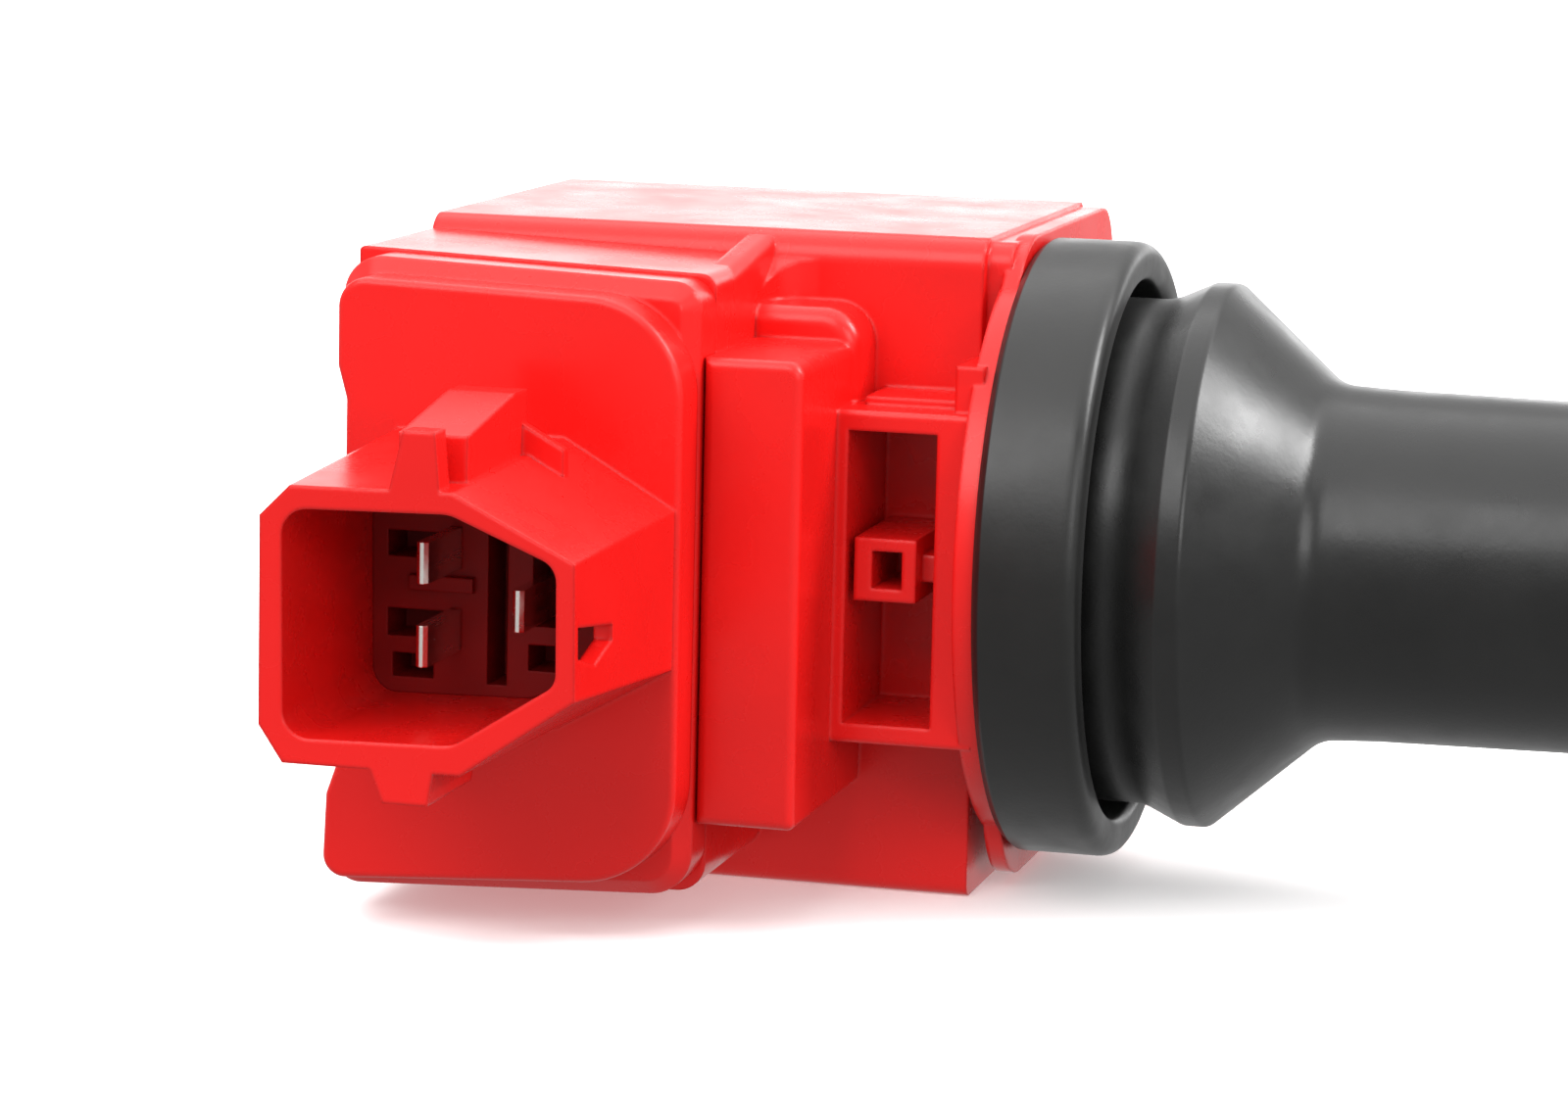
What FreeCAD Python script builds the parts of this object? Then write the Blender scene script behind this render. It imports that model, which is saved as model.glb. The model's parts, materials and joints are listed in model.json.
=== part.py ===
"""Plug-top ignition coil: moulded head with a three-pin connector, seal ring, sleeve and plug boot.

Millimetres. The plug axis is X, and +X points from the head to the spark plug. The connector faces -Y,
the bolt ear is on the +Y side, and +Z is up as the coil lies on its side. The origin is on the plug
axis, in the plane where the seal ring seats against the head.
"""
import FreeCAD, Part
import math
import os

from FreeCAD import Vector

# ---------------------------------------------------------------- driving dimensions
# Each pair is a lowest and a highest coordinate.
BLOCK_X, BLOCK_Y, BLOCK_Z = (-35.0, -2.5), (-7.1, 20.3), (-19.5, 18.0)
CAVITY_X, CAVITY_Y, CAVITY_Z = (-35.0, -5.0), (-3.0, 18.2), (-17.4, 15.9)
FLANGE_X, FLANGE_Y = (-35.0, -14.6), (-19.0, -7.1)
FLANGE_LEFT_Z, FLANGE_RIGHT_Z = (-18.0, 17.25), (-17.5, 16.6)    # drafted towards +X
CHAMBER_X, CHAMBER_Z = (-33.0, -17.0), (-15.2, 15.0)
BOSS_X, BOSS_Y, BOSS_Z = (-14.5, -9.0), (-21.6, -7.1), (-13.2, 12.4)
STEP_X, STEP_Y, STEP_Z = (-15.2, -8.6), (-11.0, -7.1), (-9.0, 14.2)
POCKET_FRAME_X, POCKET_FRAME_Z = (-10.0, -1.0), (-9.6, 9.0)
POCKET_X, POCKET_Z = (-8.3, -3.3), (-8.5, 7.9)
POCKET_Y = (-14.0, -5.2)
PEG_X, PEG_Z = (-7.9, -4.4), (-1.6, 1.9)
PEG_HOLE_X, PEG_HOLE_Z = (-6.9, -5.2), (-0.9, 1.2)
PEG_HOLE_DEPTH = 6.0

COLLAR_X = (-1.6, -0.4)     # thin plate that the seal ring sits against
COLLAR_Y, COLLAR_Z = (-8.0, 19.8), (-18.8, 18.0)
COLLAR_R = 16.8
COLLAR_ROOT_R = 13.0
TOWER_R = 7.5               # spigot that carries the rubber parts
TOWER_BORE_R = 3.4
TOWER_END = 14.0

EAR_Y = 30.0                # bolt axis, parallel to the plug axis
EAR_R = 8.0
EAR_X = (-9.0, -0.3)
EAR_WEB_X = (-5.5, -1.2)
EAR_WEB_Z = 16.9            # half height of the web where it leaves the block
BUSHING_X = (-9.3, 0.0)
BUSHING_R, BUSHING_BORE_R = 5.0, 3.3

PLATE_Y, PLATE_BASE_Y = (-25.6, -22.6), (-22.6, -19.0)
PLATE_CORNER_R = 5.5
SHROUD_MOUTH_Y = -43.0
CARRIER_Y = (-29.4, -20.0)

BLADE_TIP_Y, BLADE_END_Y = -35.0, -18.6
BLADE_THICK, BLADE_TALL = 0.64, 2.2
BLADES = {                  # name: (x, z) of each blade's centre
    "terminal_supply": (-25.7, 2.55),
    "terminal_ground": (-25.7, -1.85),
    "terminal_trigger": (-20.45, 0.35),
}

CORE_X, CORE_Y = -17.5, 7.6  # winding axis, upright
CORE_HALF = 3.5
CORE_BAR_Z = (-13.2, 10.6)
CORE_MAGNET_THICK = 1.2
CORE_FRAME_Z = (-16.7, 15.2)
CORE_FRAME_LEFT = -32.6
CORE_FRAME_THICK = 3.8
CORE_FRAME_Y = (2.6, 12.6)

BOBBIN_Z = (-12.9, 10.4)
BOBBIN_WALL = 0.8
PRIMARY_IN, PRIMARY_OUT = 3.6, 5.6       # half widths of a bobbin's bore and of its winding
SECONDARY_IN, SECONDARY_OUT = 6.1, 9.0
FLANGE_RIM = 0.3            # how far a bobbin flange stands out past its winding
SECONDARY_CHAMBERS = 8

SEAL_R, SEAL_LIP_R, SEAL_LENGTH, SEAL_WEB = 17.6, 15.4, 5.4, 1.6
SLEEVE_END = 84.0
SLEEVE_END_R = 9.2
GUIDE_R, GUIDE_BORE_R = 6.0, 3.9
GUIDE_LIP = (81.5, 84.0)
GUIDE_LIP_R = 3.1
BOOT_END = 118.0
BOOT_SPIGOT = (78.0, 84.0)
BOOT_SPIGOT_R = 7.6
PLUG_BORE_R = 5.2

CONTACT_FLANGE = (79.3, 81.5)
CONTACT_FLANGE_R = 3.8
CONTACT_NOSE_END, CONTACT_NOSE_R = 89.0, 3.0
SWEEP_R = 2.6               # hollow between the chamber's side wall and the block
SPRING_R, SPRING_WIRE_R, SPRING_TURNS = 2.7, 0.4, 20
RESISTOR_X = (-1.0, 13.8)


# ---------------------------------------------------------------- helpers
def box(x, y, z):
    """A block between three pairs of coordinates."""
    corner = Vector(x[0], y[0], z[0])
    return Part.makeBox(x[1] - x[0], y[1] - y[0], z[1] - z[0], corner)


def rod(x, radius, y=0.0, z=0.0):
    """A round bar parallel to X."""
    return Part.makeCylinder(radius, x[1] - x[0], Vector(x[0], y, z), Vector(1, 0, 0))


def lies_on(edge, side, bounds):
    """True if the whole edge lies on one side of the bounds, such as "z+"."""
    limit = {
        "x-": bounds.XMin, "x+": bounds.XMax,
        "y-": bounds.YMin, "y+": bounds.YMax,
        "z-": bounds.ZMin, "z+": bounds.ZMax,
    }[side]
    return all(abs(getattr(v, side[0].upper()) - limit) < 1e-6 for v in edge.Vertexes)


def rounded(solid, radius, *corners):
    """Rounds the edges that lie on both named sides of the solid's bounds, such as "y-z+"."""
    bounds = solid.BoundBox
    edges = [
        edge for edge in solid.Edges
        if any(lies_on(edge, c[:2], bounds) and lies_on(edge, c[2:], bounds) for c in corners)
    ]
    return solid.makeFillet(radius, edges)


def chamfered(solid, size, *corners):
    """Cuts the edges that lie on both named sides of the solid's bounds."""
    bounds = solid.BoundBox
    edges = [
        edge for edge in solid.Edges
        if any(lies_on(edge, c[:2], bounds) and lies_on(edge, c[2:], bounds) for c in corners)
    ]
    return solid.makeChamfer(size, edges)


def outline(points, y):
    """A closed straight-sided wire in the plane at y, from (x, z) points."""
    corners = [Vector(px, y, pz) for px, pz in points]
    return Part.makePolygon(corners + corners[:1])


def prism(points, y):
    """A solid with the same (x, z) outline between two values of y."""
    return Part.Face(outline(points, y[0])).extrude(Vector(0, y[1] - y[0], 0))


def soft_prism(corners, y):
    """A prism whose outline is rounded at each (x, z, radius) corner; radius 0 stays sharp."""
    tangents = []
    for i, (px, pz, radius) in enumerate(corners):
        here = Vector(px, y[0], pz)
        before = Vector(corners[i - 1][0], y[0], corners[i - 1][1]) - here
        after_x, after_z, _ = corners[(i + 1) % len(corners)]
        after = Vector(after_x, y[0], after_z) - here
        reach = radius / math.tan(before.getAngle(after) / 2)
        start = here + before.normalize() * reach
        end = here + after.normalize() * reach
        inward = (before + after).normalize()
        half_angle = before.getAngle(after) / 2
        middle = here + inward * (radius / math.sin(half_angle) - radius)
        tangents.append((start, middle, end))
    edges = []
    for i, (start, middle, end) in enumerate(tangents):
        if corners[i][2] > 0:
            edges.append(Part.Arc(start, middle, end).toShape())
        edges.append(Part.LineSegment(end, tangents[(i + 1) % len(tangents)][0]).toShape())
    return Part.Face(Part.Wire(edges)).extrude(Vector(0, y[1] - y[0], 0))


def side_prism(points, x):
    """A solid with the same (y, z) outline between two values of x."""
    corners = [Vector(x[0], py, pz) for py, pz in points]
    face = Part.Face(Part.makePolygon(corners + corners[:1]))
    return face.extrude(Vector(x[1] - x[0], 0, 0))


def turned(points):
    """A solid of revolution about the plug axis, from (x, radius) points."""
    corners = [Vector(px, 0, radius) for px, radius in points]
    face = Part.Face(Part.makePolygon(corners + corners[:1]))
    return face.revolve(Vector(0, 0, 0), Vector(1, 0, 0), 360)


def fuse(first, *others):
    """One solid from touching or overlapping ones."""
    return first.multiFuse(list(others)).removeSplitter()


def upright_bar(half, z, corner):
    """A bar of rounded square section on the winding axis."""
    bar = box((CORE_X - half, CORE_X + half), (CORE_Y - half, CORE_Y + half), z)
    return rounded(bar, corner, "x-y-", "x-y+", "x+y-", "x+y+")


def upright_tube(half, bore_half, z, corner):
    """A square tube on the winding axis, its wall even round the corners."""
    bore_corner = max(corner - (half - bore_half), 0.3)
    return upright_bar(half, z, corner).cut(upright_bar(bore_half, z, bore_corner))


# ---------------------------------------------------------------- moulded head
def ear():
    """The bolt ear's lug, joined to the block by a tapering web."""
    lug = rod(EAR_X, EAR_R, EAR_Y)
    root = BLOCK_Y[1] - 1.0
    web_points = [
        (16.6, -EAR_WEB_Z), (20.4, -EAR_WEB_Z), (EAR_Y + 3.0, -EAR_R + 0.6),
        (EAR_Y + 3.0, EAR_R - 0.6), (20.4, EAR_WEB_Z), (16.6, EAR_WEB_Z),
    ]
    web = rounded(side_prism(web_points, EAR_WEB_X), 0.8, "x+z+", "x+z-")
    rib = side_prism(
        [(root, -1.2), (EAR_Y - BUSHING_R, -1.2), (EAR_Y - BUSHING_R, 1.2), (root, 1.2)],
        (-16.0, EAR_WEB_X[0]),
    )
    slope = side_prism([(root, -2.0), (EAR_Y, -2.0), (EAR_Y, 2.0), (root, 2.0)], (-30.0, -16.0))
    slope.rotate(Vector(-16.0, root, 0), Vector(0, 0, 1), -35)
    return fuse(lug, web, rib.cut(slope))


def flange():
    """The front chamber's walls, drafted, with a cheek that climbs to the top of the block."""
    (low_left, high_left), (low_right, high_right) = FLANGE_LEFT_Z, FLANGE_RIGHT_Z
    left, right = FLANGE_X
    walls = soft_prism(
        [(left, high_left, 0.3), (right, high_right, 0.9), (right, low_right, 1.6),
         (left, low_left, 1.0)], FLANGE_Y,
    )
    cheek_top = BLOCK_Z[1] - 0.3
    cheek = side_prism(
        [(-15.5, 10.0), (-15.5, high_right - 0.2), (-12.0, high_right + 0.35),
         (BLOCK_Y[0] + 0.3, cheek_top), (-5.0, cheek_top), (-5.0, 10.0)],
        (right - 1.6, right),
    )
    cheek = cheek.makeFillet(0.65, [e for e in cheek.Edges if is_top_edge(e, right)])
    near = BLOCK_Y[0] - SWEEP_R
    sweep = side_prism(
        [(near, BOSS_Z[0] + 0.5), (near, 14.9), (BLOCK_Y[0], 16.5), (BLOCK_Y[0] + 0.5, 16.5),
         (BLOCK_Y[0] + 0.5, BOSS_Z[0] + 0.5)],
        (right - 0.5, right + SWEEP_R),
    )
    hollow = Part.makeCylinder(
        SWEEP_R, 40.0, Vector(right + SWEEP_R, BLOCK_Y[0] - SWEEP_R, -20.0), Vector(0, 0, 1)
    )
    return fuse(walls, cheek, sweep.cut(hollow))


def is_top_edge(edge, x):
    """True for an upper edge of the cheek that lies in the plane at x."""
    middle = edge.CenterOfMass
    return abs(middle.x - x) < 1e-6 and middle.z > 16.5 and middle.y < BLOCK_Y[0]


def head_outside():
    """The outer form of the head, still without its hollows."""
    block = rounded(box(BLOCK_X, BLOCK_Y, BLOCK_Z), 1.7, "y-z+")
    block = rounded(block, 0.8, "y+z+", "y+z-", "y-z-")
    boss = soft_prism(
        [(BOSS_X[0], BOSS_Z[1], 0), (BOSS_X[1], BOSS_Z[1], 0.9), (BOSS_X[1], BOSS_Z[0], 0.4),
         (BOSS_X[0], BOSS_Z[0], 0)], BOSS_Y,
    )
    boss = boss.makeFillet(0.5, [e for e in boss.Edges if lies_on(e, "y-", boss.BoundBox)])
    boss_root = box(
        (BOSS_X[0] - 0.7, BOSS_X[0] + 0.5), (FLANGE_Y[0] + 0.1, BLOCK_Y[0]),
        (BOSS_Z[0] + 0.1, BOSS_Z[1] - 0.1),
    )
    step = soft_prism(
        [(STEP_X[0], STEP_Z[1], 0), (STEP_X[1], STEP_Z[1], 2.2), (STEP_X[1], STEP_Z[0], 0.4),
         (STEP_X[0], STEP_Z[0], 0)], STEP_Y,
    )
    step = step.makeFillet(1.0, [e for e in step.Edges if lies_on(e, "y-", step.BoundBox)])
    frame = box(POCKET_FRAME_X, (POCKET_Y[0], BLOCK_Y[0]), POCKET_FRAME_Z)
    frame = rounded(frame, 0.3, "y-z+", "y-z-")
    ledge = box((-8.0, POCKET_FRAME_X[1]), (-11.5, BLOCK_Y[0]), (POCKET_FRAME_Z[1], 9.5))
    tab = box((-2.6, POCKET_FRAME_X[1]), (-13.0, BLOCK_Y[0]), (POCKET_FRAME_Z[1], 11.6))
    collar = rod(COLLAR_X, COLLAR_R)
    collar_plate = box((COLLAR_X[0] + 0.1, COLLAR_X[1] - 0.1), COLLAR_Y, COLLAR_Z)
    collar_plate = rounded(collar_plate, 6.0, "y-z+", "y-z-")
    collar_plate = rounded(collar_plate, 3.5, "y+z+", "y+z-")
    collar_root = rod((BLOCK_X[1] - 1.0, COLLAR_X[0] + 0.5), COLLAR_ROOT_R)
    bridge = box(
        (BLOCK_X[1] - 0.5, COLLAR_X[0] + 0.5), (BLOCK_Y[0] + 0.9, COLLAR_Y[1] - 0.6),
        (0.0, BLOCK_Z[1] - 0.25),
    )
    bridge = rounded(bridge, 1.4, "y-z+")
    tower = rod((COLLAR_X[0] + 0.3, TOWER_END), TOWER_R)
    additions = [flange(), boss, boss_root, step, frame, ledge, tab, ear()]
    additions += [collar, collar_plate, collar_root, bridge, tower]
    return block.multiFuse(additions)


def coil_case():
    """The head: block, front chamber, side pocket with its peg, collar, tower and ear."""
    head = head_outside()
    cavity = rounded(box(CAVITY_X, CAVITY_Y, CAVITY_Z), 1.0, "y-z+", "y-z-", "y+z+", "y+z-")
    chamber = box(CHAMBER_X, (FLANGE_Y[0], CAVITY_Y[0]), CHAMBER_Z)
    pocket = box(POCKET_X, POCKET_Y, POCKET_Z)
    tower_bore = rod((CAVITY_X[1], TOWER_END), TOWER_BORE_R)
    bolt_bore = rod(EAR_X, BUSHING_R, EAR_Y)
    head = head.cut(cavity).cut(chamber).cut(pocket).cut(tower_bore).cut(bolt_bore)
    peg_front = POCKET_Y[0] + 0.4
    peg = box(PEG_X, (peg_front, POCKET_Y[1]), PEG_Z)
    link = box((PEG_X[1], POCKET_X[1]), (peg_front + 1.5, POCKET_Y[1]), (-0.6, 0.9))
    peg_hole = box(PEG_HOLE_X, (peg_front, peg_front + PEG_HOLE_DEPTH), PEG_HOLE_Z)
    return head.multiFuse([peg, link]).cut(peg_hole)


def ear_bushing():
    """The steel sleeve that takes the bolt's clamping force."""
    sleeve = rod(BUSHING_X, BUSHING_R, EAR_Y)
    return sleeve.cut(rod(BUSHING_X, BUSHING_BORE_R, EAR_Y))


# ---------------------------------------------------------------- connector
PLATE = [                   # outline corners as (x, z, radius)
    (-33.9, 16.25, 1.6), (-14.5, 15.65, PLATE_CORNER_R), (-14.5, -15.7, PLATE_CORNER_R),
    (-34.6, -16.9, 1.2), (-34.4, -12.2, 1.0), (-33.5, -9.6, 1.0), (-33.4, 9.6, 1.0),
    (-33.9, 11.4, 1.0),
]
PLATE_BASE = [
    (-34.9, 17.1, 2.2), (-14.6, 16.4, 1.6), (-14.6, -17.1, 2.4), (-35.4, -18.0, 1.6),
    (-35.2, -12.2, 1.0), (-34.6, -9.4, 1.0), (-34.6, 9.4, 1.0), (-34.9, 11.6, 1.0),
]
SHROUD_MOUTH = [
    (-30.0, 7.5), (-21.4, 7.6), (-14.9, 4.4), (-14.8, -2.6),
    (-20.8, -6.8), (-30.3, -6.8), (-31.6, -4.9), (-31.6, 5.9),
]
SHROUD_ROOT = [
    (-30.4, 8.2), (-21.0, 8.2), (-14.8, 4.6), (-14.8, -4.0),
    (-21.2, -7.6), (-30.6, -7.6), (-32.2, -5.4), (-32.2, 6.2),
]
SOCKET = [                  # outline corners as (x, z, radius)
    (-30.45, 6.3, 1.4), (-21.5, 6.5, 2.0), (-15.85, 4.2, 1.2), (-15.8, -1.8, 1.0),
    (-21.2, -5.3, 2.0), (-30.3, -5.5, 1.4),
]


def latch_rail():
    """The ramp on top of the shroud that the plug's latch snaps over, and its front key."""
    ramp = side_prism(
        [(-40.2, 7.0), (-40.2, 10.1), (-32.6, 11.4), (-30.6, 11.4), (-30.6, 7.0)],
        (-25.2, -21.5),
    )
    key_points = [(-24.8, 7.2), (-24.0, 10.6), (-22.3, 10.6), (-22.0, 7.2)]
    key = prism(key_points, (SHROUD_MOUTH_Y, -41.4))
    gusset = prism([(-21.6, 7.4), (-21.6, 9.7), (-19.2, 8.4), (-19.2, 6.8)], (-31.4, -30.6))
    return ramp, key, gusset


def connector_plate():
    """The front plate with the connector shroud."""
    plate = soft_prism(PLATE, PLATE_Y)
    plate = plate.makeFillet(0.35, [e for e in plate.Edges if lies_on(e, "y-", plate.BoundBox)])
    base = soft_prism(PLATE_BASE, PLATE_BASE_Y)
    base = base.makeChamfer(0.9, [e for e in base.Edges if lies_on(e, "y-", base.BoundBox)])
    root_y = PLATE_Y[0] + 0.5
    shroud = Part.makeLoft(
        [outline(SHROUD_MOUTH, SHROUD_MOUTH_Y), outline(SHROUD_ROOT, root_y)], True, True
    )
    bottom_key = prism(
        [(-25.7, -6.5), (-24.9, -8.5), (-22.5, -8.5), (-22.2, -6.5)], (SHROUD_MOUTH_Y, -36.0)
    )
    moulding = fuse(plate, base, shroud, bottom_key, *latch_rail())
    window = soft_prism(SOCKET, (SHROUD_MOUTH_Y, FLANGE_Y[0]))
    notch_points = [(-42.4, -0.5), (-42.4, 1.1), (-36.6, 0.35), (-36.6, -0.5), (-39.5, -1.3)]
    side_notch = side_prism(notch_points, (-16.4, -14.0))
    return moulding.cut(window).cut(side_notch)


def terminal(x, z):
    """One blade with a pointed tip and a wide shoulder inside the carrier."""
    half, tall = BLADE_THICK / 2, BLADE_TALL / 2
    blade = box((x - half, x + half), (BLADE_TIP_Y, BLADE_END_Y), (z - tall, z + tall))
    blade = chamfered(blade, 0.22, "x-y-", "x+y-")
    shoulder = box((x - half, x + half), (-26.5, -23.0), (z - tall - 0.6, z + tall + 0.6))
    return fuse(blade, shoulder)


def terminal_carrier():
    """The insert that holds the blades, with the slots of its front face."""
    rib = box((-28.2, -24.6), (CARRIER_Y[0] - 0.5, CARRIER_Y[1]), (0.2, 1.0))
    carrier = fuse(soft_prism(SOCKET, CARRIER_Y), rib)
    slot_y = (CARRIER_Y[0], CARRIER_Y[0] + 3.0)
    slots = [
        ((-23.9, -22.8), (-4.7, 3.5)),
        ((-29.5, -26.4), (1.9, 3.3)),
        ((-29.5, -26.4), (-2.4, -0.9)),
        ((-29.2, -26.9), (-4.6, -3.3)),
        ((-21.6, -19.4), (-3.8, -2.4)),
        ((-21.4, -18.8), (-1.4, 2.5)),
    ]
    for x, z in slots:
        carrier = carrier.cut(box(x, slot_y, z))
    for x, z in BLADES.values():
        carrier = carrier.cut(terminal(x, z))
    return carrier


# ---------------------------------------------------------------- igniter
MODULE_X, MODULE_Y, MODULE_Z = (-31.0, -18.6), (-17.4, -12.9), (-8.0, 8.0)


def igniter_module():
    """The moulded package of the driver transistor."""
    package = box(MODULE_X, MODULE_Y, MODULE_Z)
    return chamfered(package, 0.5, "y-z+", "y-z-", "x-y-", "x+y-")


def igniter_heat_tab():
    """The metal tab behind the package, with its hole."""
    tab = box((MODULE_X[0] + 0.6, MODULE_X[1] - 0.6), (MODULE_Y[1], MODULE_Y[1] + 1.2), (-8.0, 12.5))
    middle = (MODULE_X[0] + MODULE_X[1]) / 2
    hole = Part.makeCylinder(1.6, 4.0, Vector(middle, MODULE_Y[1] - 1, 10.2), Vector(0, 1, 0))
    return tab.cut(hole)


def igniter_leads():
    """The three leads from the package to the blades."""
    half = 0.25
    leads = [
        box((x - half, x + half), (BLADE_END_Y, MODULE_Y[0]), (z - 0.6, z + 0.6))
        for x, z in BLADES.values()
    ]
    return Part.makeCompound(leads)


# ---------------------------------------------------------------- magnetic circuit
def core_bar():
    return upright_bar(CORE_HALF, CORE_BAR_Z, 0.4)


def core_magnet():
    top = CORE_BAR_Z[1]
    return upright_bar(CORE_HALF, (top, top + CORE_MAGNET_THICK), 0.4)


def core_frame():
    """The C-shaped return path, round the far side of the windings."""
    right = CORE_X + CORE_HALF
    inner_z = (CORE_BAR_Z[0], CORE_BAR_Z[1] + CORE_MAGNET_THICK)
    solid = box((CORE_FRAME_LEFT, right), CORE_FRAME_Y, CORE_FRAME_Z)
    window = box((CORE_FRAME_LEFT + CORE_FRAME_THICK, right), CORE_FRAME_Y, inner_z)
    return rounded(solid, 1.5, "x-z+", "x-z-").cut(window)


def core_pads():
    """Two elastic pads that hold the frame between the floor and roof of the cavity."""
    x = (CORE_FRAME_LEFT + 3.0, CORE_X)
    low = box(x, CORE_FRAME_Y, (CAVITY_Z[0], CORE_FRAME_Z[0]))
    high = box(x, CORE_FRAME_Y, (CORE_FRAME_Z[1], CAVITY_Z[1]))
    return Part.makeCompound([low, high])


# ---------------------------------------------------------------- windings
def flange_levels(count):
    """The low faces of evenly spaced bobbin flanges."""
    pitch = (BOBBIN_Z[1] - BOBBIN_WALL - BOBBIN_Z[0]) / count
    return [BOBBIN_Z[0] + pitch * i for i in range(count + 1)]


def bobbin(bore_half, flange_half, chambers):
    """A square spool with a flange at each end and between its chambers."""
    wall = upright_tube(bore_half + BOBBIN_WALL, bore_half, BOBBIN_Z, 1.2)
    flanges = [
        upright_tube(flange_half, bore_half, (z, z + BOBBIN_WALL), 1.8)
        for z in flange_levels(chambers)
    ]
    return fuse(wall, *flanges)


def winding(bore_half, half, chambers):
    """The wire in each chamber of a bobbin, as one solid per chamber."""
    levels = flange_levels(chambers)
    coils = [
        upright_tube(half, bore_half + BOBBIN_WALL, (low + BOBBIN_WALL, high), 2.0)
        for low, high in zip(levels, levels[1:])
    ]
    return Part.makeCompound(coils) if chambers > 1 else coils[0]


# ---------------------------------------------------------------- high-voltage path
def high_voltage_cup():
    """The pressed cup that closes the tower's bore, with its tag to the winding."""
    cup = rod((CAVITY_X[1], RESISTOR_X[0]), TOWER_BORE_R)
    stud = rod((CAVITY_X[1] - 0.6, CAVITY_X[1]), 2.6)
    hollow = rod((CAVITY_X[1] + 0.5, RESISTOR_X[0]), TOWER_BORE_R - 0.5)
    tag = box((CAVITY_X[1] - 0.6, CAVITY_X[1]), (1.5, CORE_Y + 2.0), (-1.0, 1.0))
    return fuse(cup, stud, tag).cut(hollow)


def resistor_caps():
    cap = 3.0
    radius = 3.1
    body_radius = 2.6
    caps = []
    for low, inner in ((RESISTOR_X[0], 1), (RESISTOR_X[1] - cap, -1)):
        solid = rod((low, low + cap), radius)
        shift = 0.6 * inner
        hollow = rod((low + shift, low + cap + shift), body_radius)
        caps.append(solid.cut(hollow))
    return Part.makeCompound(caps)


def noise_resistor():
    return rod((RESISTOR_X[0] + 0.6, RESISTOR_X[1] - 0.6), 2.6)


def contact_spring():
    """The coil spring between the resistor's cap and the contact's flange."""
    start = RESISTOR_X[1] + SPRING_WIRE_R
    length = CONTACT_FLANGE[0] - SPRING_WIRE_R - start
    helix = Part.makeHelix(length / SPRING_TURNS, length, SPRING_R)
    section = Part.Wire(
        Part.makeCircle(SPRING_WIRE_R, Vector(SPRING_R, 0, 0), Vector(0, 1, 0))
    )
    spring = Part.Wire(helix).makePipeShell([section], True, True)
    spring.rotate(Vector(0, 0, 0), Vector(0, 1, 0), 90)
    spring.translate(Vector(start, 0, 0))
    return spring


def plug_contact():
    """The cup that the spring presses on the spark plug's terminal."""
    flange = rod(CONTACT_FLANGE, CONTACT_FLANGE_R)
    pilot = rod((CONTACT_FLANGE[0] - 2.5, CONTACT_FLANGE[0]), 1.9)
    nose = rounded(rod((CONTACT_FLANGE[1], CONTACT_NOSE_END), CONTACT_NOSE_R), 0.4, "x+x+")
    dish = Part.makeSphere(3.4, Vector(CONTACT_NOSE_END + 2.4, 0, 0))
    return fuse(flange, pilot, nose).cut(dish)


# ---------------------------------------------------------------- rubber and tube parts
def well_seal():
    """The ring that closes the mouth of the plug well."""
    edge = 1.5
    arc_steps = 6
    outer = [(COLLAR_X[1], TOWER_R), (COLLAR_X[1], SEAL_R - 0.3), (0.0, SEAL_R)]
    for i in range(arc_steps + 1):
        turn = math.pi / 2 * i / arc_steps
        outer.append((
            SEAL_LENGTH - edge + edge * math.sin(turn), SEAL_R - edge + edge * math.cos(turn)
        ))
    inner = [(SEAL_LENGTH, SEAL_LIP_R), (SEAL_WEB, SEAL_LIP_R), (SEAL_WEB, TOWER_R)]
    return turned(outer + inner)


def boot_sleeve():
    """The long sleeve: neck, ridge, cone and tube."""
    return turned([
        (SEAL_WEB, TOWER_R), (SEAL_WEB, 14.4), (6.6, 14.4), (8.2, 14.6), (9.7, 15.5),
        (10.4, 15.5), (16.2, 10.4), (17.0, 10.05), (18.5, 9.95), (SLEEVE_END, SLEEVE_END_R),
        (SLEEVE_END, BOOT_SPIGOT_R), (BOOT_SPIGOT[0], BOOT_SPIGOT_R), (BOOT_SPIGOT[0], GUIDE_R),
        (TOWER_END, GUIDE_R), (TOWER_END, TOWER_R),
    ])


def spring_guide():
    """The rigid liner in which the spring runs, with the lip that keeps the contact in."""
    return turned([
        (TOWER_END, GUIDE_BORE_R), (TOWER_END, GUIDE_R), (GUIDE_LIP[1], GUIDE_R),
        (GUIDE_LIP[1], GUIDE_LIP_R), (GUIDE_LIP[0], GUIDE_LIP_R), (GUIDE_LIP[0], GUIDE_BORE_R),
    ])


def plug_boot():
    """The soft end boot that grips the spark plug's insulator."""
    mouth = BOOT_END
    return turned([
        (BOOT_SPIGOT[0], GUIDE_R), (BOOT_SPIGOT[0], BOOT_SPIGOT_R),
        (BOOT_SPIGOT[1], BOOT_SPIGOT_R), (BOOT_SPIGOT[1], SLEEVE_END_R),
        (mouth - 8.0, 8.9), (mouth - 5.0, 9.6), (mouth - 1.0, 9.6), (mouth, 8.8),
        (mouth, 6.2), (mouth - 1.5, PLUG_BORE_R), (CONTACT_NOSE_END + 1.0, PLUG_BORE_R),
        (CONTACT_NOSE_END, GUIDE_R), (GUIDE_LIP[1], GUIDE_R),
    ])


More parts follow.
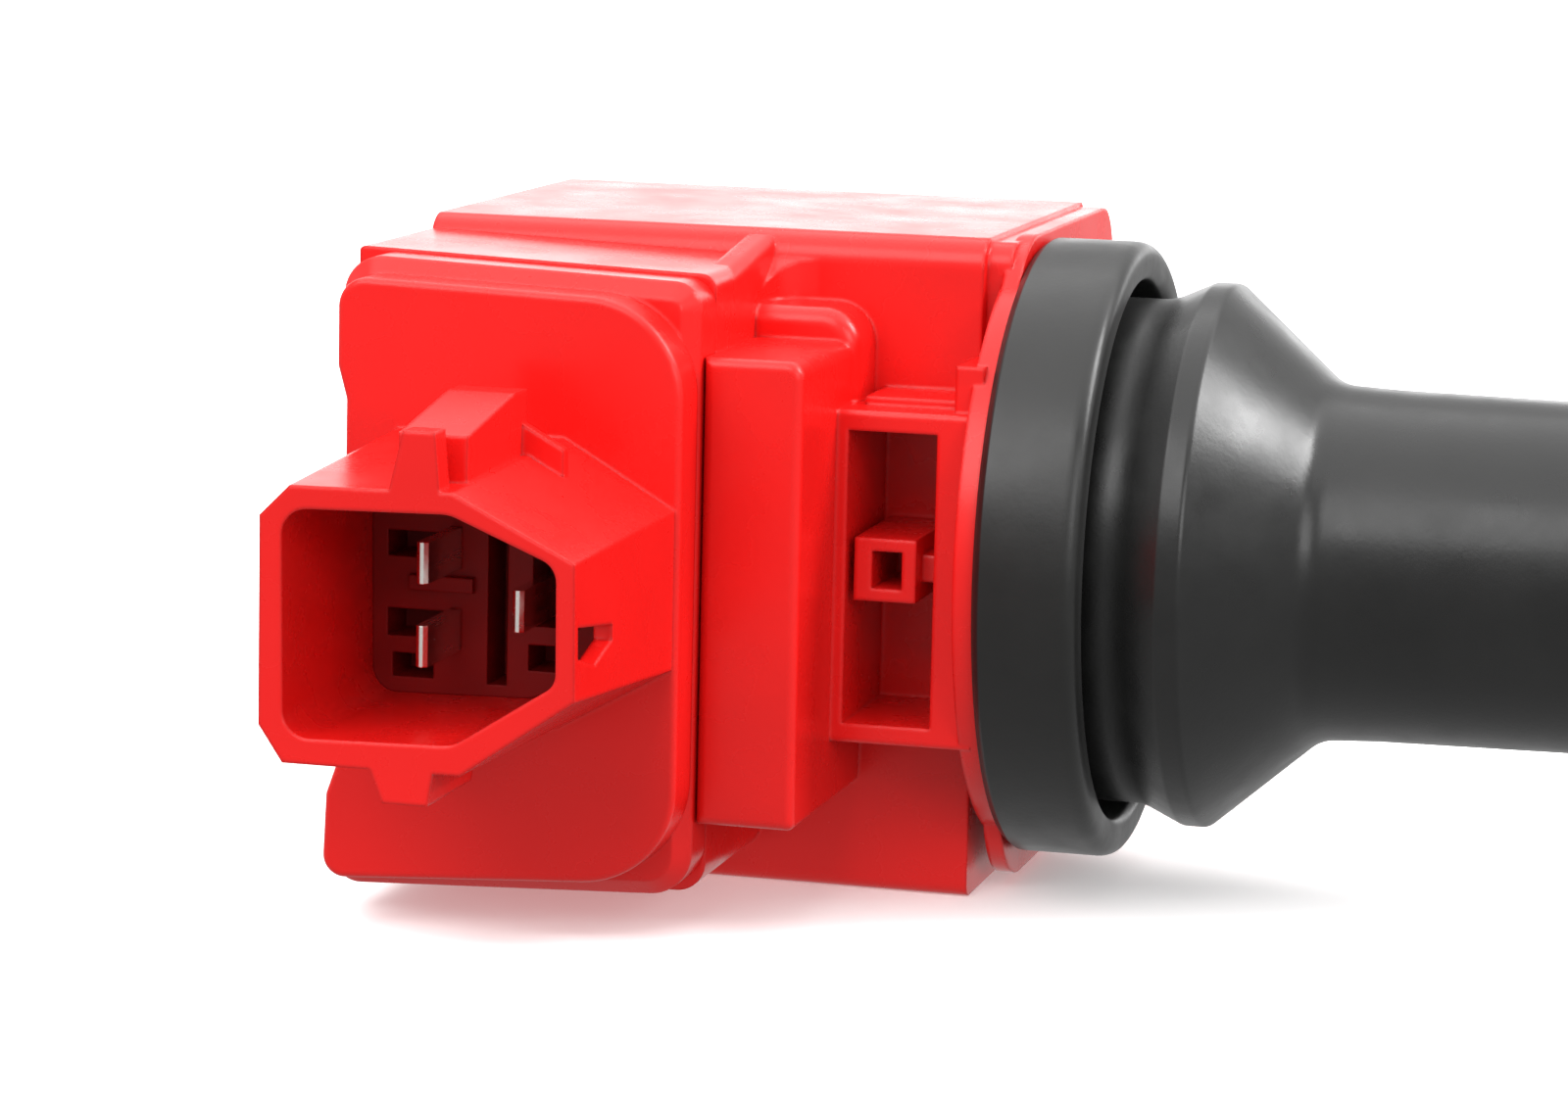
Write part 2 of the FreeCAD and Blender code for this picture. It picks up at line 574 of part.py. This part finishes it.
# ---------------------------------------------------------------- the whole coil
def build():
    """Every piece of the coil by name."""
    nodes = {
        "coil_case": coil_case(),
        "ear_bushing": ear_bushing(),
        "connector_plate": connector_plate(),
        "terminal_carrier": terminal_carrier(),
        "igniter_module": igniter_module(),
        "igniter_heat_tab": igniter_heat_tab(),
        "igniter_leads": igniter_leads(),
        "core_bar": core_bar(),
        "core_frame": core_frame(),
        "core_magnet": core_magnet(),
        "core_pads": core_pads(),
        "primary_bobbin": bobbin(PRIMARY_IN, PRIMARY_OUT + FLANGE_RIM, 1),
        "primary_winding": winding(PRIMARY_IN, PRIMARY_OUT, 1),
        "secondary_bobbin": bobbin(SECONDARY_IN, SECONDARY_OUT + FLANGE_RIM, SECONDARY_CHAMBERS),
        "secondary_winding": winding(SECONDARY_IN, SECONDARY_OUT, SECONDARY_CHAMBERS),
        "high_voltage_cup": high_voltage_cup(),
        "noise_resistor": noise_resistor(),
        "resistor_caps": resistor_caps(),
        "contact_spring": contact_spring(),
        "plug_contact": plug_contact(),
        "well_seal": well_seal(),
        "boot_sleeve": boot_sleeve(),
        "spring_guide": spring_guide(),
        "plug_boot": plug_boot(),
    }
    for name, (x, z) in BLADES.items():
        nodes[name] = terminal(x, z)
    nodes.update(resin(nodes))
    return nodes


def resin(nodes):
    """The cast resin: what is left of the cavity and the chamber round the pieces in them."""
    main = box((-34.4, CAVITY_X[1]), CAVITY_Y, CAVITY_Z)
    main = rounded(main, 1.0, "y-z+", "y-z-", "y+z+", "y+z-")
    spool_half = SECONDARY_OUT + FLANGE_RIM
    spool = upright_bar(spool_half, (CORE_BAR_Z[0], CORE_BAR_Z[1] + CORE_MAGNET_THICK), 1.8)
    main_inside = [spool, nodes["core_frame"], nodes["core_pads"], nodes["high_voltage_cup"]]
    front = box(CHAMBER_X, (FLANGE_Y[0] + 0.6, CAVITY_Y[0]), CHAMBER_Z)
    front_inside = ["igniter_module", "igniter_heat_tab", "igniter_leads", *BLADES]
    return {
        "potting_resin": main.cut(main_inside),
        "chamber_resin": front.cut([nodes[n] for n in front_inside]),
    }


os.makedirs("parts", exist_ok=True)
for name, shape in build().items():
    shape.exportStep(f"parts/{name}.step")
    print(f"{name}: {len(shape.Solids)} solids, {shape.Volume / 1000:.2f} cm3, valid {shape.isValid()}")
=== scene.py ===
"""Looks for a plug-top ignition coil: camera, light, floor, materials, rubber parts and the spring."""

import json
import math

import bmesh
import bpy
from mathutils import Matrix, Vector


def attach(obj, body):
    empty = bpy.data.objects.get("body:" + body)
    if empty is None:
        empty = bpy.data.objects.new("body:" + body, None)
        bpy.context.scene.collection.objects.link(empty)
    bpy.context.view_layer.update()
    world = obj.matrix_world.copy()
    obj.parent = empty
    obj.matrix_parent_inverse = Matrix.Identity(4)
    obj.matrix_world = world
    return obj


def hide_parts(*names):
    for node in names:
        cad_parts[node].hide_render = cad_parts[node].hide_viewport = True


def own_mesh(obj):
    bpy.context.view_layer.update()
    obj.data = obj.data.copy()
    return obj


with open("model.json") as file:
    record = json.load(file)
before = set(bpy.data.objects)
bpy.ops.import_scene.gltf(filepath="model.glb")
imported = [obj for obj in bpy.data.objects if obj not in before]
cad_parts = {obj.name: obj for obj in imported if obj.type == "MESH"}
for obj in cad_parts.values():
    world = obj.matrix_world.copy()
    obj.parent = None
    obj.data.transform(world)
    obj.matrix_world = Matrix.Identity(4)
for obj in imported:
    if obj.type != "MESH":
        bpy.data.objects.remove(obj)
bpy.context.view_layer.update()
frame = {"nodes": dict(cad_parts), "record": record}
scene = bpy.context.scene
MM = 0.001
WAVE_FACTOR = 20.0             # Blender's wave texture multiplies its scale by this


# ---------------------------------------------------------------- node helpers
class Surface:
    """A Principled material with object-space texture nodes, in mm."""

    def __init__(self, name):
        self.material = bpy.data.materials.new(name)
        self.material.use_nodes = True
        self.tree = self.material.node_tree
        self.shader = self.tree.nodes["Principled BSDF"]
        coordinates = self.add("ShaderNodeTexCoord")
        self.place = coordinates.outputs["Object"]

    def add(self, kind, **settings):
        node = self.tree.nodes.new(kind)
        for key, value in settings.items():
            setattr(node, key, value)
        return node

    def link(self, source, target):
        self.tree.links.new(source, target)

    def stretched(self, x=1.0, y=1.0, z=1.0):
        """The place on the piece, with its axes scaled."""
        mapping = self.add("ShaderNodeMapping")
        mapping.inputs["Scale"].default_value = (x, y, z)
        self.link(self.place, mapping.inputs["Vector"])
        return mapping.outputs["Vector"]

    def noise(self, size, detail=4.0, place=None, roughness=0.55):
        """A noise pattern whose features are about this many mm across."""
        node = self.add("ShaderNodeTexNoise")
        node.inputs["Scale"].default_value = 1.0 / (size * MM)
        node.inputs["Detail"].default_value = detail
        node.inputs["Roughness"].default_value = roughness
        self.link(place or self.place, node.inputs["Vector"])
        return node.outputs["Fac"]

    def bands(self, pitch, direction, profile, distortion):
        """Evenly spaced bands across one axis, repeated every pitch, in mm."""
        node = self.add(
            "ShaderNodeTexWave", wave_type="BANDS", bands_direction=direction, wave_profile=profile
        )
        node.inputs["Scale"].default_value = 2 * math.pi / (WAVE_FACTOR * pitch * MM)
        node.inputs["Distortion"].default_value = distortion
        self.link(self.place, node.inputs["Vector"])
        return node.outputs["Fac"]

    def ramp(self, value, *stops):
        """Maps a value through (position, colour or grey) stops."""
        node = self.add("ShaderNodeValToRGB")
        elements = node.color_ramp.elements
        while len(elements) < len(stops):
            elements.new(0.5)
        for element, (position, colour) in zip(elements, stops):
            element.position = position
            if isinstance(colour, float):
                colour = (colour, colour, colour)
            element.color = (*colour, 1.0)
        self.link(value, node.inputs["Fac"])
        return node.outputs["Color"]

    def colour(self, value, low, high):
        """Colour that drifts between two tones with a pattern."""
        self.link(self.ramp(value, (0.3, low), (0.7, high)), self.shader.inputs["Base Color"])

    def roughness(self, value, low, high):
        self.link(self.ramp(value, (0.3, low), (0.7, high)), self.shader.inputs["Roughness"])

    def relief(self, *layers, edge=0.0):
        """Bump layers of (pattern, height in mm); edge rounds the piece's edges by that radius."""
        normal = None
        if edge:
            bevel = self.add("ShaderNodeBevel", samples=6)
            bevel.inputs["Radius"].default_value = edge * MM
            normal = bevel.outputs["Normal"]
        for pattern, height in layers:
            bump = self.add("ShaderNodeBump")
            bump.inputs["Strength"].default_value = 1.0
            bump.inputs["Distance"].default_value = height * MM
            self.link(pattern, bump.inputs["Height"])
            if normal:
                self.link(normal, bump.inputs["Normal"])
            normal = bump.outputs["Normal"]
        self.link(normal, self.shader.inputs["Normal"])

    def set(self, **values):
        """Uniform values, set on the shader's own sockets."""
        for key, value in values.items():
            self.shader.inputs[key.replace("_", " ")].default_value = value


def mixed(tone, factor):
    return tuple(channel * factor for channel in tone)


# ---------------------------------------------------------------- materials
def moulded_plastic(name, tone, rough, edge, grain=0.0012, ior=1.5):
    """Moulded plastic: slow colour drift from the flow, satin patches and a fine mould grain."""
    s = Surface(name)
    flow = s.noise(14.0, detail=3.0, place=s.stretched(0.6, 1.0, 1.2))
    s.colour(flow, mixed(tone, 0.93), mixed(tone, 1.04))
    s.roughness(s.noise(5.0, detail=5.0), rough - 0.04, rough + 0.05)
    s.relief((s.noise(18.0, detail=1.0), 0.06), (s.noise(0.35, detail=2.0), grain), edge=edge)
    s.set(IOR=ior)
    return s.material


def rubber(name, tone, rough, edge):
    """Moulded rubber: a dusty bloom over black, with a fine grain."""
    s = Surface(name)
    bloom = s.noise(7.0, detail=6.0, roughness=0.65)
    s.colour(bloom, mixed(tone, 0.8), mixed(tone, 1.35))
    s.roughness(s.noise(3.0, detail=5.0), rough - 0.05, rough + 0.07)
    s.relief((s.noise(9.0, detail=2.0), 0.04), (s.noise(0.3, detail=3.0), 0.006), edge=edge)
    s.set(IOR=1.42, Sheen_Weight=0.03, Sheen_Roughness=0.5)
    return s.material


def metal(name, tone, rough, drawn="x", line=0.12, edge=0.12):
    """Drawn or brushed metal, with fine lines along one axis and a little tarnish."""
    s = Surface(name)
    scales = {"x": (0.06, 1.0, 1.0), "y": (1.0, 0.06, 1.0), "z": (1.0, 1.0, 0.06)}[drawn]
    lines = s.noise(line, detail=1.0, place=s.stretched(*scales))
    tarnish = s.noise(2.6, detail=5.0)
    s.colour(tarnish, mixed(tone, 0.86), tone)
    s.roughness(lines, rough - 0.04, rough + 0.06)
    s.relief((lines, 0.0003), edge=edge)
    s.set(Metallic=1.0)
    return s.material


def laminated(name, tone, pitch):
    """A stack of punched sheets, seen as fine dark seams across the stack."""
    s = Surface(name)
    seams = s.bands(pitch, "Y", "SAW", distortion=0.15)
    s.link(s.ramp(seams, (0.0, mixed(tone, 0.35)), (0.18, tone)), s.shader.inputs["Base Color"])
    s.roughness(s.noise(0.8), 0.32, 0.5)
    s.relief((seams, 0.02), (s.noise(0.3), 0.006), edge=0.15)
    s.set(Metallic=1.0)
    return s.material


def wound(name, tone, pitch):
    """Enamelled wire laid turn on turn up the bobbin, with painted shade in the valleys between turns.
    """
    s = Surface(name)
    turns = s.bands(pitch, "Z", "SIN", distortion=0.3)
    # the colour darkens towards the valley of each band: painted shade between the turns
    s.link(s.ramp(turns, (0.0, mixed(tone, 0.35)), (0.5, tone)), s.shader.inputs["Base Color"])
    s.roughness(s.noise(1.5), 0.24, 0.38)
    s.relief((turns, pitch * 0.15), edge=0.2)
    s.set(Metallic=0.85, Coat_Weight=0.5, Coat_Roughness=0.12)
    return s.material


def poured_resin(name, tone):
    """Cast resin: a glossy, slightly uneven pour with a few specks and pin bubbles."""
    s = Surface(name)
    s.colour(s.noise(8.0, detail=5.0), mixed(tone, 0.7), mixed(tone, 1.5))
    s.roughness(s.noise(6.0), 0.14, 0.3)
    cells = s.add("ShaderNodeTexVoronoi")
    cells.inputs["Scale"].default_value = 1.0 / (2.4 * MM)
    s.link(s.place, cells.inputs["Vector"])
    bubbles = s.ramp(cells.outputs["Distance"], (0.05, 0.0), (0.16, 1.0))
    s.relief((s.noise(11.0, detail=2.0), 0.35), (bubbles, 0.05), edge=0.2)
    s.set(Coat_Weight=0.3, Coat_Roughness=0.1)
    return s.material


RED = (0.64, 0.0075, 0.0065)
MATERIALS = {
    "red_plastic": moulded_plastic("red_plastic", RED, 0.27, edge=0.35, ior=1.36),
    # dark_red_plastic is a darker copy of the red plastic for the pin carrier deep in the connector
    # socket: its low tone is painted shade
    "dark_red_plastic": moulded_plastic(
        "dark_red_plastic", (0.22, 0.004, 0.004), 0.45, edge=0.15, ior=1.3
    ),
    "bushing_steel": metal("bushing_steel", (0.62, 0.61, 0.56), 0.34, drawn="x"),
    "tin_plate": metal("tin_plate", (0.86, 0.85, 0.80), 0.22, drawn="y", line=0.3, edge=0.08),
    "black_package": moulded_plastic("black_package", (0.022, 0.022, 0.024), 0.5, edge=0.15),
    "tab_aluminium": metal("tab_aluminium", (0.74, 0.75, 0.77), 0.38, drawn="z"),
    "core_steel": laminated("core_steel", (0.36, 0.37, 0.39), 1.0),
    "magnet_ferrite": moulded_plastic("magnet_ferrite", (0.09, 0.09, 0.10), 0.45, edge=0.2),
    "pad_rubber": rubber("pad_rubber", (0.03, 0.03, 0.03), 0.6, edge=0.2),
    "bobbin_plastic": moulded_plastic("bobbin_plastic", (0.66, 0.60, 0.47), 0.45, edge=0.15),
    "copper_wire": wound("copper_wire", (0.62, 0.24, 0.09), 1.1),
    "fine_copper_wire": wound("fine_copper_wire", (0.50, 0.17, 0.06), 0.28),
    "brass_cup": metal("brass_cup", (0.80, 0.60, 0.28), 0.3, drawn="x"),
    "resistor_ceramic": moulded_plastic("resistor_ceramic", (0.74, 0.69, 0.58), 0.7, edge=0.15),
    "spring_steel": metal("spring_steel", (0.58, 0.58, 0.58), 0.3, drawn="x", line=0.05, edge=0.0),
    "contact_steel": metal("contact_steel", (0.70, 0.68, 0.63), 0.24, drawn="x"),
    "seal_rubber": rubber("seal_rubber", (0.0055, 0.0055, 0.0051), 0.34, edge=0.0),
    "sleeve_rubber": rubber("sleeve_rubber", (0.0055, 0.0055, 0.0053), 0.30, edge=0.0),
    "guide_plastic": moulded_plastic("guide_plastic", (0.04, 0.04, 0.043), 0.5, edge=0.15),
    "boot_rubber": rubber("boot_rubber", (0.010, 0.010, 0.0105), 0.48, edge=0.0),
    "potting_resin": poured_resin("potting_resin", (0.020, 0.016, 0.014)),
}

slot_of = {part["node"]: part["material_slot"] for part in frame["record"]["subparts"]}
for name, node in frame["nodes"].items():
    for material_slot in node.material_slots:
        material_slot.material = MATERIALS[slot_of[name]]


# ---------------------------------------------------------------- turned rubber parts
CORNER_SHARE = 0.48            # most of a side that the rounding of one corner may use


def softened(corners, steps=6):
    """A closed (x, r) profile in mm from (x, r, corner radius) corners."""
    points = []
    for i, (x, r, radius) in enumerate(corners):
        here = Vector((x, r))
        if radius == 0:
            points.append(here)
            continue
        before = Vector(corners[i - 1][:2]) - here
        after = Vector(corners[(i + 1) % len(corners)][:2]) - here
        half = before.angle(after) / 2
        reach = min(radius / math.tan(half), CORNER_SHARE * before.length, CORNER_SHARE * after.length)
        start = here + before.normalized() * reach
        end = here + after.normalized() * reach
        for step in range(steps + 1):
            t = step / steps
            points.append(start.lerp(here, t).lerp(here.lerp(end, t), t))
    return points


def turned_piece(name, corners, slot, node, around=144):
    """A ring or tube turned about the plug axis, which stands for a CAD node."""
    profile = softened(corners)
    mesh = bmesh.new()
    rings = []
    for step in range(around):
        angle = 2 * math.pi * step / around
        rings.append([
            mesh.verts.new((p.x * MM, p.y * MM * math.cos(angle), p.y * MM * math.sin(angle)))
            for p in profile
        ])
    for ring, following in zip(rings, rings[1:] + rings[:1]):
        for k in range(len(profile)):
            after = (k + 1) % len(profile)
            face = mesh.faces.new((ring[k], ring[after], following[after], following[k]))
            face.smooth = True
    bmesh.ops.recalc_face_normals(mesh, faces=mesh.faces)
    data = bpy.data.meshes.new(name)
    mesh.to_mesh(data)
    mesh.free()
    piece = bpy.data.objects.new(name, data)
    scene.collection.objects.link(piece)
    data.materials.append(MATERIALS[slot])
    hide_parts(node)
    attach(piece, "coil")


# Profiles are (x, radius, corner radius) in mm along the plug axis.
COLLAR_FACE_X = -0.4           # the head's collar, which the ring sits against
RING_FLOOR_X, RING_FRONT_X = 1.6, 5.4
RING_R, RING_LIP_R = 17.6, 15.4
SPIGOT_R, SPIGOT_END_X = 7.5, 14.0
NECK_R, RIDGE_R = 14.4, 15.5
LINER_R = 6.0                  # the spring guide, which fills the middle of the rubber
LAP_R, LAP_X = 7.6, 78.0       # from here the end boot laps inside the long sleeve
SLEEVE_END_X, SLEEVE_END_R = 84.0, 9.2
BOOT_END_X, BOOT_LIP_R, BOOT_GROOVE_R = 118.0, 9.6, 8.4
PLUG_BORE_R, PLUG_BORE_X = 5.2, (90.0, 116.5)

turned_piece("seal_ring", [
    (COLLAR_FACE_X, SPIGOT_R, 0), (COLLAR_FACE_X, RING_R - 0.3, 0), (0.0, RING_R, 0.2),
    (RING_FRONT_X, RING_R, 1.5), (RING_FRONT_X, RING_LIP_R, 0.7),
    (RING_FLOOR_X, RING_LIP_R, 0.5), (RING_FLOOR_X, SPIGOT_R, 0),
], "seal_rubber", "well_seal")

turned_piece("long_sleeve", [
    (RING_FLOOR_X, SPIGOT_R, 0), (RING_FLOOR_X, NECK_R, 0.3), (6.9, NECK_R, 3.0),
    (9.3, RIDGE_R, 0.6), (10.5, RIDGE_R, 0.6), (16.6, 10.1, 2.4), (20.0, 9.94, 0),
    (SLEEVE_END_X, SLEEVE_END_R, 0.3), (SLEEVE_END_X, LAP_R, 0), (LAP_X, LAP_R, 0),
    (LAP_X, LINER_R, 0), (SPIGOT_END_X, LINER_R, 0), (SPIGOT_END_X, SPIGOT_R, 0),
], "sleeve_rubber", "boot_sleeve")

turned_piece("end_boot", [
    (LAP_X, LINER_R, 0), (LAP_X, LAP_R, 0), (SLEEVE_END_X, LAP_R, 0),
    (SLEEVE_END_X, SLEEVE_END_R, 0.3), (109.0, 8.95, 2.0),
    (110.4, BOOT_GROOVE_R, 0.5), (111.4, BOOT_GROOVE_R, 0.5),
    (112.6, BOOT_LIP_R, 0.8), (117.0, BOOT_LIP_R, 0.8), (BOOT_END_X, 8.8, 0.5),
    (BOOT_END_X, PLUG_BORE_R + 1.0, 0.5), (PLUG_BORE_X[1], PLUG_BORE_R, 0.5),
    (PLUG_BORE_X[0], PLUG_BORE_R, 0), (PLUG_BORE_X[0] - 1.0, LINER_R, 0),
    (SLEEVE_END_X, LINER_R, 0),
], "boot_rubber", "plug_boot")


# ---------------------------------------------------------------- contact spring
SPRING_R, SPRING_WIRE_R = 2.7, 0.4
SPRING_X = (14.2, 78.9)        # first and last centres of the wire
SPRING_TURNS, SPRING_CLOSED = 17, 1.5
STEPS_PER_TURN, WIRE_SIDES = 28, 8
END_TURN_GAP = 1.03            # rise of a closed turn, in wire thicknesses


def spring_line():
    """Centre line of the spring, with closed end turns."""
    total = SPRING_TURNS + 2 * SPRING_CLOSED
    count = int(total * STEPS_PER_TURN)
    closed_rise = 2 * SPRING_WIRE_R * END_TURN_GAP
    open_rise = (SPRING_X[1] - SPRING_X[0] - 2 * SPRING_CLOSED * closed_rise) / SPRING_TURNS
    points = []
    for i in range(count + 1):
        turn = total * i / count
        low = min(turn, SPRING_CLOSED)
        high = max(turn - SPRING_CLOSED - SPRING_TURNS, 0.0)
        x = SPRING_X[0] + closed_rise * (low + high) + open_rise * (turn - low - high)
        angle = 2 * math.pi * turn
        points.append(Vector((x, SPRING_R * math.cos(angle), SPRING_R * math.sin(angle))))
    return points


def spring():
    """The spring as a closed tube of wire."""
    line = spring_line()
    mesh = bmesh.new()
    rings = []
    for i, centre in enumerate(line):
        outward = Vector((0.0, centre.y, centre.z)).normalized()
        ahead = (line[min(i + 1, len(line) - 1)] - line[max(i - 1, 0)]).normalized()
        across = ahead.cross(outward).normalized()
        ring = []
        for side in range(WIRE_SIDES):
            angle = 2 * math.pi * side / WIRE_SIDES
            offset = outward * math.cos(angle) + across * math.sin(angle)
            ring.append(mesh.verts.new((centre + offset * SPRING_WIRE_R) * MM))
        rings.append(ring)
    for ring, following in zip(rings, rings[1:]):
        for k in range(WIRE_SIDES):
            after = (k + 1) % WIRE_SIDES
            face = mesh.faces.new((ring[k], ring[after], following[after], following[k]))
            face.smooth = True
    mesh.faces.new(rings[0])
    mesh.faces.new(rings[-1])
    bmesh.ops.recalc_face_normals(mesh, faces=mesh.faces)
    data = bpy.data.meshes.new("wound_spring")
    mesh.to_mesh(data)
    mesh.free()
    piece = bpy.data.objects.new("wound_spring", data)
    scene.collection.objects.link(piece)
    data.materials.append(MATERIALS["spring_steel"])
    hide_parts("contact_spring")
    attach(piece, "coil")
    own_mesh(piece)


spring()


# ---------------------------------------------------------------- floor
FLOOR_Z = -19.5 * MM           # the flat side of the block that the coil lies on
FLOOR_GAP = 0.05 * MM          # keeps the table top clear of that side
TABLE_HALF = 6.0


def floor():
    """A wide pale table top with a faint glow, left out of the light that the coil receives."""
    mesh = bmesh.new()
    bmesh.ops.create_grid(mesh, x_segments=8, y_segments=8, size=TABLE_HALF)
    bmesh.ops.translate(mesh, verts=mesh.verts, vec=(0, 0, FLOOR_Z - FLOOR_GAP))
    data = bpy.data.meshes.new("table_top")
    mesh.to_mesh(data)
    mesh.free()
    top = bpy.data.objects.new("table_top", data)
    scene.collection.objects.link(top)
    s = Surface("pale_table")
    s.colour(s.noise(300.0, detail=3.0), (0.90, 0.90, 0.90), (0.93, 0.93, 0.93))
    s.roughness(s.noise(60.0), 0.8, 0.9)
    s.set(Specular_IOR_Level=0.1, Emission_Color=(1.0, 1.0, 1.0, 1.0), Emission_Strength=0.25)
    data.materials.append(s.material)
    top.visible_diffuse = False
    top.visible_glossy = False


floor()


# ---------------------------------------------------------------- light
def softbox(name, place, size, watts):
    """An even rectangular softbox, aimed at the origin, that the camera doesn't see."""
    light = bpy.data.lights.new(name, "AREA")
    light.shape = "RECTANGLE"
    light.size, light.size_y = size
    light.energy = watts
    lamp = bpy.data.objects.new(name, light)
    lamp.location = place
    lamp.rotation_euler = (Vector() - Vector(place)).to_track_quat("-Z", "Y").to_euler()
    lamp.visible_camera = False
    scene.collection.objects.link(lamp)


softbox("key_box", (-0.35, -0.95, 0.85), (1.2, 0.7), 12.0)
softbox("side_box", (0.9, -0.85, 0.45), (0.7, 0.5), 5.0)
softbox("top_box", (0.0, 0.1, 1.1), (1.8, 1.8), 18.5)
softbox("right_box", (0.75, 0.15, 0.62), (0.36, 0.36), 9.0)
softbox("back_box", (-0.1, 1.9, 0.29), (3.4, 0.4), 9.0)


WHITE_FROM = 0.35              # height of a direction from which the room is at its brightest
FRONT_EDGE = -0.55             # y of a direction at which the camera's side of the room begins


def studio(below, above, front):
    """A plain pale room, darker below the horizon and on the camera's side."""
    world = bpy.data.worlds.new("studio")
    world.use_nodes = True
    nodes, links = world.node_tree.nodes, world.node_tree.links
    direction = nodes.new("ShaderNodeTexCoord")
    split = nodes.new("ShaderNodeSeparateXYZ")
    links.new(direction.outputs["Generated"], split.inputs["Vector"])
    height = nodes.new("ShaderNodeValToRGB")
    height.color_ramp.elements[0].position = 0.0
    height.color_ramp.elements[0].color = (below, below, below, 1.0)
    height.color_ramp.elements[1].position = WHITE_FROM
    height.color_ramp.elements[1].color = (above, above, above, 1.0)
    links.new(split.outputs["Z"], height.inputs["Fac"])
    depth = nodes.new("ShaderNodeMapRange")
    depth.inputs["From Min"].default_value = -1.0
    depth.inputs["From Max"].default_value = FRONT_EDGE
    depth.inputs["To Min"].default_value = front
    depth.inputs["To Max"].default_value = 1.0
    links.new(split.outputs["Y"], depth.inputs["Value"])
    links.new(height.outputs["Color"], nodes["Background"].inputs["Color"])
    links.new(depth.outputs["Result"], nodes["Background"].inputs["Strength"])
    scene.world = world


studio(0.65, 0.9, 0.95)
scene.view_settings.view_transform = "Standard"


# ---------------------------------------------------------------- camera
CAMERA_AZIMUTH, CAMERA_ELEVATION, CAMERA_ROLL = 14.81, 9.17, 1.32      # degrees
CAMERA_TARGET, CAMERA_DISTANCE = (-15.52, 0.0, -1.40), 285.67          # mm
LENS, SENSOR_WIDTH = 112.5, 36.0


def camera():
    """Looks at the head from a little right of square and a little above."""
    azimuth, elevation = math.radians(CAMERA_AZIMUTH), math.radians(CAMERA_ELEVATION)
    roll = math.radians(CAMERA_ROLL)
    target = Vector(CAMERA_TARGET) * MM
    distance = CAMERA_DISTANCE * MM
    back = Vector((
        math.sin(azimuth) * math.cos(elevation),
        -math.cos(azimuth) * math.cos(elevation),
        math.sin(elevation),
    ))
    level_right = (-back).cross(Vector((0, 0, 1))).normalized()
    level_up = level_right.cross(-back)
    right = math.cos(roll) * level_right + math.sin(roll) * level_up
    up = right.cross(-back)
    data = bpy.data.cameras.new("camera")
    data.sensor_width = SENSOR_WIDTH
    data.lens = LENS
    data.clip_start = 0.01
    eye = bpy.data.objects.new("camera", data)
    turn = Matrix((right, up, back)).transposed().to_4x4()
    eye.matrix_world = Matrix.Translation(target + back * distance) @ turn
    scene.collection.objects.link(eye)
    scene.camera = eye


camera()
